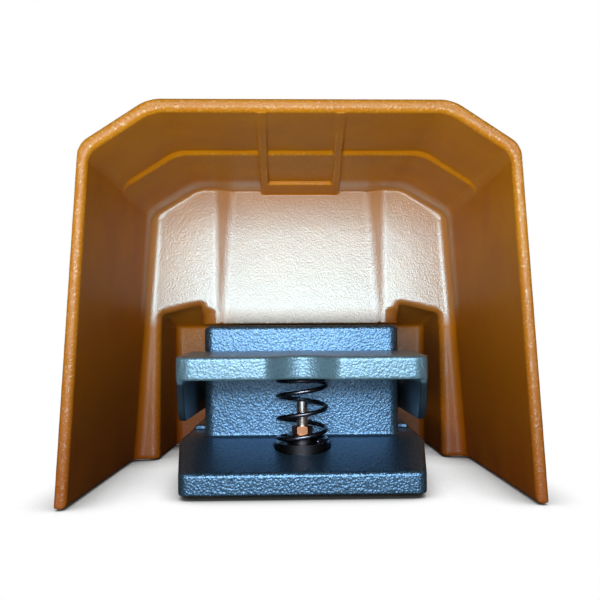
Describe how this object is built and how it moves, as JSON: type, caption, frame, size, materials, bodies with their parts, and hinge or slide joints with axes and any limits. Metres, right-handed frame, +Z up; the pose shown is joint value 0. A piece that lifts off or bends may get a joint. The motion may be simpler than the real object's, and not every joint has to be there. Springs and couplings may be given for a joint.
{
  "type": "industrial foot switch",
  "caption": "Industrial foot switch: cast base with a sealed switch box, a sprung pedal that straddles the box on a through shaft, and a cast hood that guards the pedal.",
  "frame": {"origin": "centre of the footprint, on the floor", "axes": "+X to the right as seen from the foot opening, +Y from the foot opening to the cable entry, +Z up"},
  "size_m": [0.19, 0.2074, 0.157],
  "materials": {
    "hood_paint": "glossy orange paint over a cast surface",
    "base_paint": "blue-grey textured paint over a cast surface",
    "pedal_paint": "blue-grey textured paint over a cast surface",
    "zinc_steel": "zinc-plated steel",
    "bright_steel": "ground steel",
    "spring_steel": "oiled dark spring steel",
    "dark_steel": "blackened steel",
    "copper_nut": "reddish passivated steel",
    "bronze": "sintered bronze",
    "brass": "bare brass",
    "gland_plating": "nickel-plated brass",
    "rubber": "black rubber",
    "switch_plastic": "black moulded plastic",
    "plunger_plastic": "red moulded plastic"
  },
  "bodies": {
    "base": {"hood": "hood_paint", "base_casting": "base_paint", "bottom_cover": "zinc_steel", "cover_screws": "zinc_steel", "hood_screws": "zinc_steel", "hood_washers": "zinc_steel", "switch_bracket": "zinc_steel", "bracket_screws": "zinc_steel", "switch_screws": "zinc_steel", "switch_nuts": "zinc_steel", "stop_bolt": "bright_steel", "return_spring": "spring_steel", "spring_seat": "dark_steel", "stop_nut": "copper_nut", "shaft_bushes": "bronze", "switch_terminals": "brass", "terminal_screws": "brass", "earth_screw": "brass", "earth_washer": "brass", "gland_body": "gland_plating", "gland_nut": "gland_plating", "cover_gasket": "rubber", "rubber_feet": "rubber", "shaft_seals": "rubber", "gland_washer": "rubber", "gland_seal": "rubber", "switch_case": "switch_plastic"},
    "pedal": {"pedal": "pedal_paint", "pivot_shaft": "bright_steel", "shaft_pins": "dark_steel", "cam_lever": "zinc_steel", "cam_screw": "dark_steel"},
    "plunger": {"switch_plunger": "plunger_plastic"}
  },
  "joints": [
    {"name": "pedal_hinge", "type": "hinge", "parent": "base", "child": "pedal", "pos_m": [0, -0.01175, 0.044], "axis": [1, 0, 0], "range_deg": [0, 10.5], "stiffness_Nm_per_rad": 5, "springref_deg": -22.92, "deforming": ["return_spring"]},
    {"name": "plunger_slide", "type": "slide", "parent": "base", "child": "plunger", "axis": [0, 1, 0], "range_m": [0, 0.0042]}
  ],
  "couplings": [
    {"joint": "plunger_slide", "follows": "pedal_hinge", "m_per_rad": 0.022}
  ]
}
